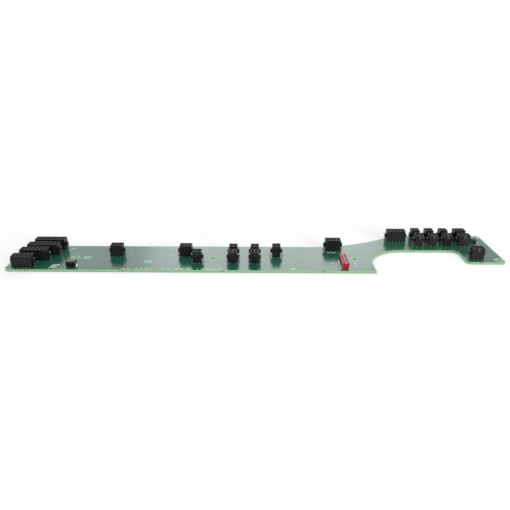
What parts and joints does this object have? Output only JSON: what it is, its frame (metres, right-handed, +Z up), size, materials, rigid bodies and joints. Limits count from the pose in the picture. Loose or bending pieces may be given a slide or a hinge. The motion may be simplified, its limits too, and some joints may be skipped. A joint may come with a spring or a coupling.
{
  "type": "drive backplane board",
  "caption": "Long thin circuit board with upright wire-to-board power headers, one ribbon-cable header, a large front cut-out and a forward tab.",
  "frame": {"origin": "middle of the board's outline, on its underside", "axes": "+X along the board towards the end with the tab, +Y from the front edge with the cut-out to the back edge, +Z up out of the face that carries the headers"},
  "size_m": [0.393, 0.0812, 0.011],
  "materials": {
    "board": "glossy green solder mask on glass-epoxy laminate, pale bare laminate at the edges",
    "black_moulding": "satin black glass-filled nylon",
    "red_moulding": "satin red moulded nylon",
    "capacitor_case": "smooth black epoxy moulding",
    "tin_plate": "satin tin plate on brass"
  },
  "bodies": {
    "root": {"circuit_board": "board", "header_01_housing": "black_moulding", "header_01_terminals": "tin_plate", "header_02_housing": "black_moulding", "header_02_terminals": "tin_plate", "header_03_housing": "black_moulding", "header_03_terminals": "tin_plate", "header_04_housing": "black_moulding", "header_04_terminals": "tin_plate", "header_05_housing": "black_moulding", "header_05_terminals": "tin_plate", "header_06_housing": "black_moulding", "header_06_terminals": "tin_plate", "header_07_housing": "black_moulding", "header_07_terminals": "tin_plate", "header_08_housing": "black_moulding", "header_08_terminals": "tin_plate", "header_09_housing": "black_moulding", "header_09_terminals": "tin_plate", "header_10_housing": "black_moulding", "header_10_terminals": "tin_plate", "header_11_housing": "black_moulding", "header_11_terminals": "tin_plate", "header_12_housing": "black_moulding", "header_12_terminals": "tin_plate", "header_13_housing": "black_moulding", "header_13_terminals": "tin_plate", "header_14_housing": "black_moulding", "header_14_terminals": "tin_plate", "header_15_housing": "black_moulding", "header_15_terminals": "tin_plate", "header_16_housing": "black_moulding", "header_16_terminals": "tin_plate", "header_17_housing": "black_moulding", "header_17_terminals": "tin_plate", "header_18_housing": "black_moulding", "header_18_terminals": "tin_plate", "header_19_housing": "black_moulding", "header_19_terminals": "tin_plate", "header_20_housing": "black_moulding", "header_20_terminals": "tin_plate", "header_21_housing": "black_moulding", "header_21_terminals": "tin_plate", "header_22_housing": "black_moulding", "header_22_terminals": "tin_plate", "header_23_housing": "black_moulding", "header_23_terminals": "tin_plate", "header_solder_clips": "tin_plate", "ribbon_header_housing": "red_moulding", "ribbon_header_contacts": "tin_plate", "capacitor_large_body": "capacitor_case", "capacitor_large_leads": "tin_plate", "capacitor_small_body": "capacitor_case", "capacitor_small_leads": "tin_plate"}
  },
  "joints": []
}
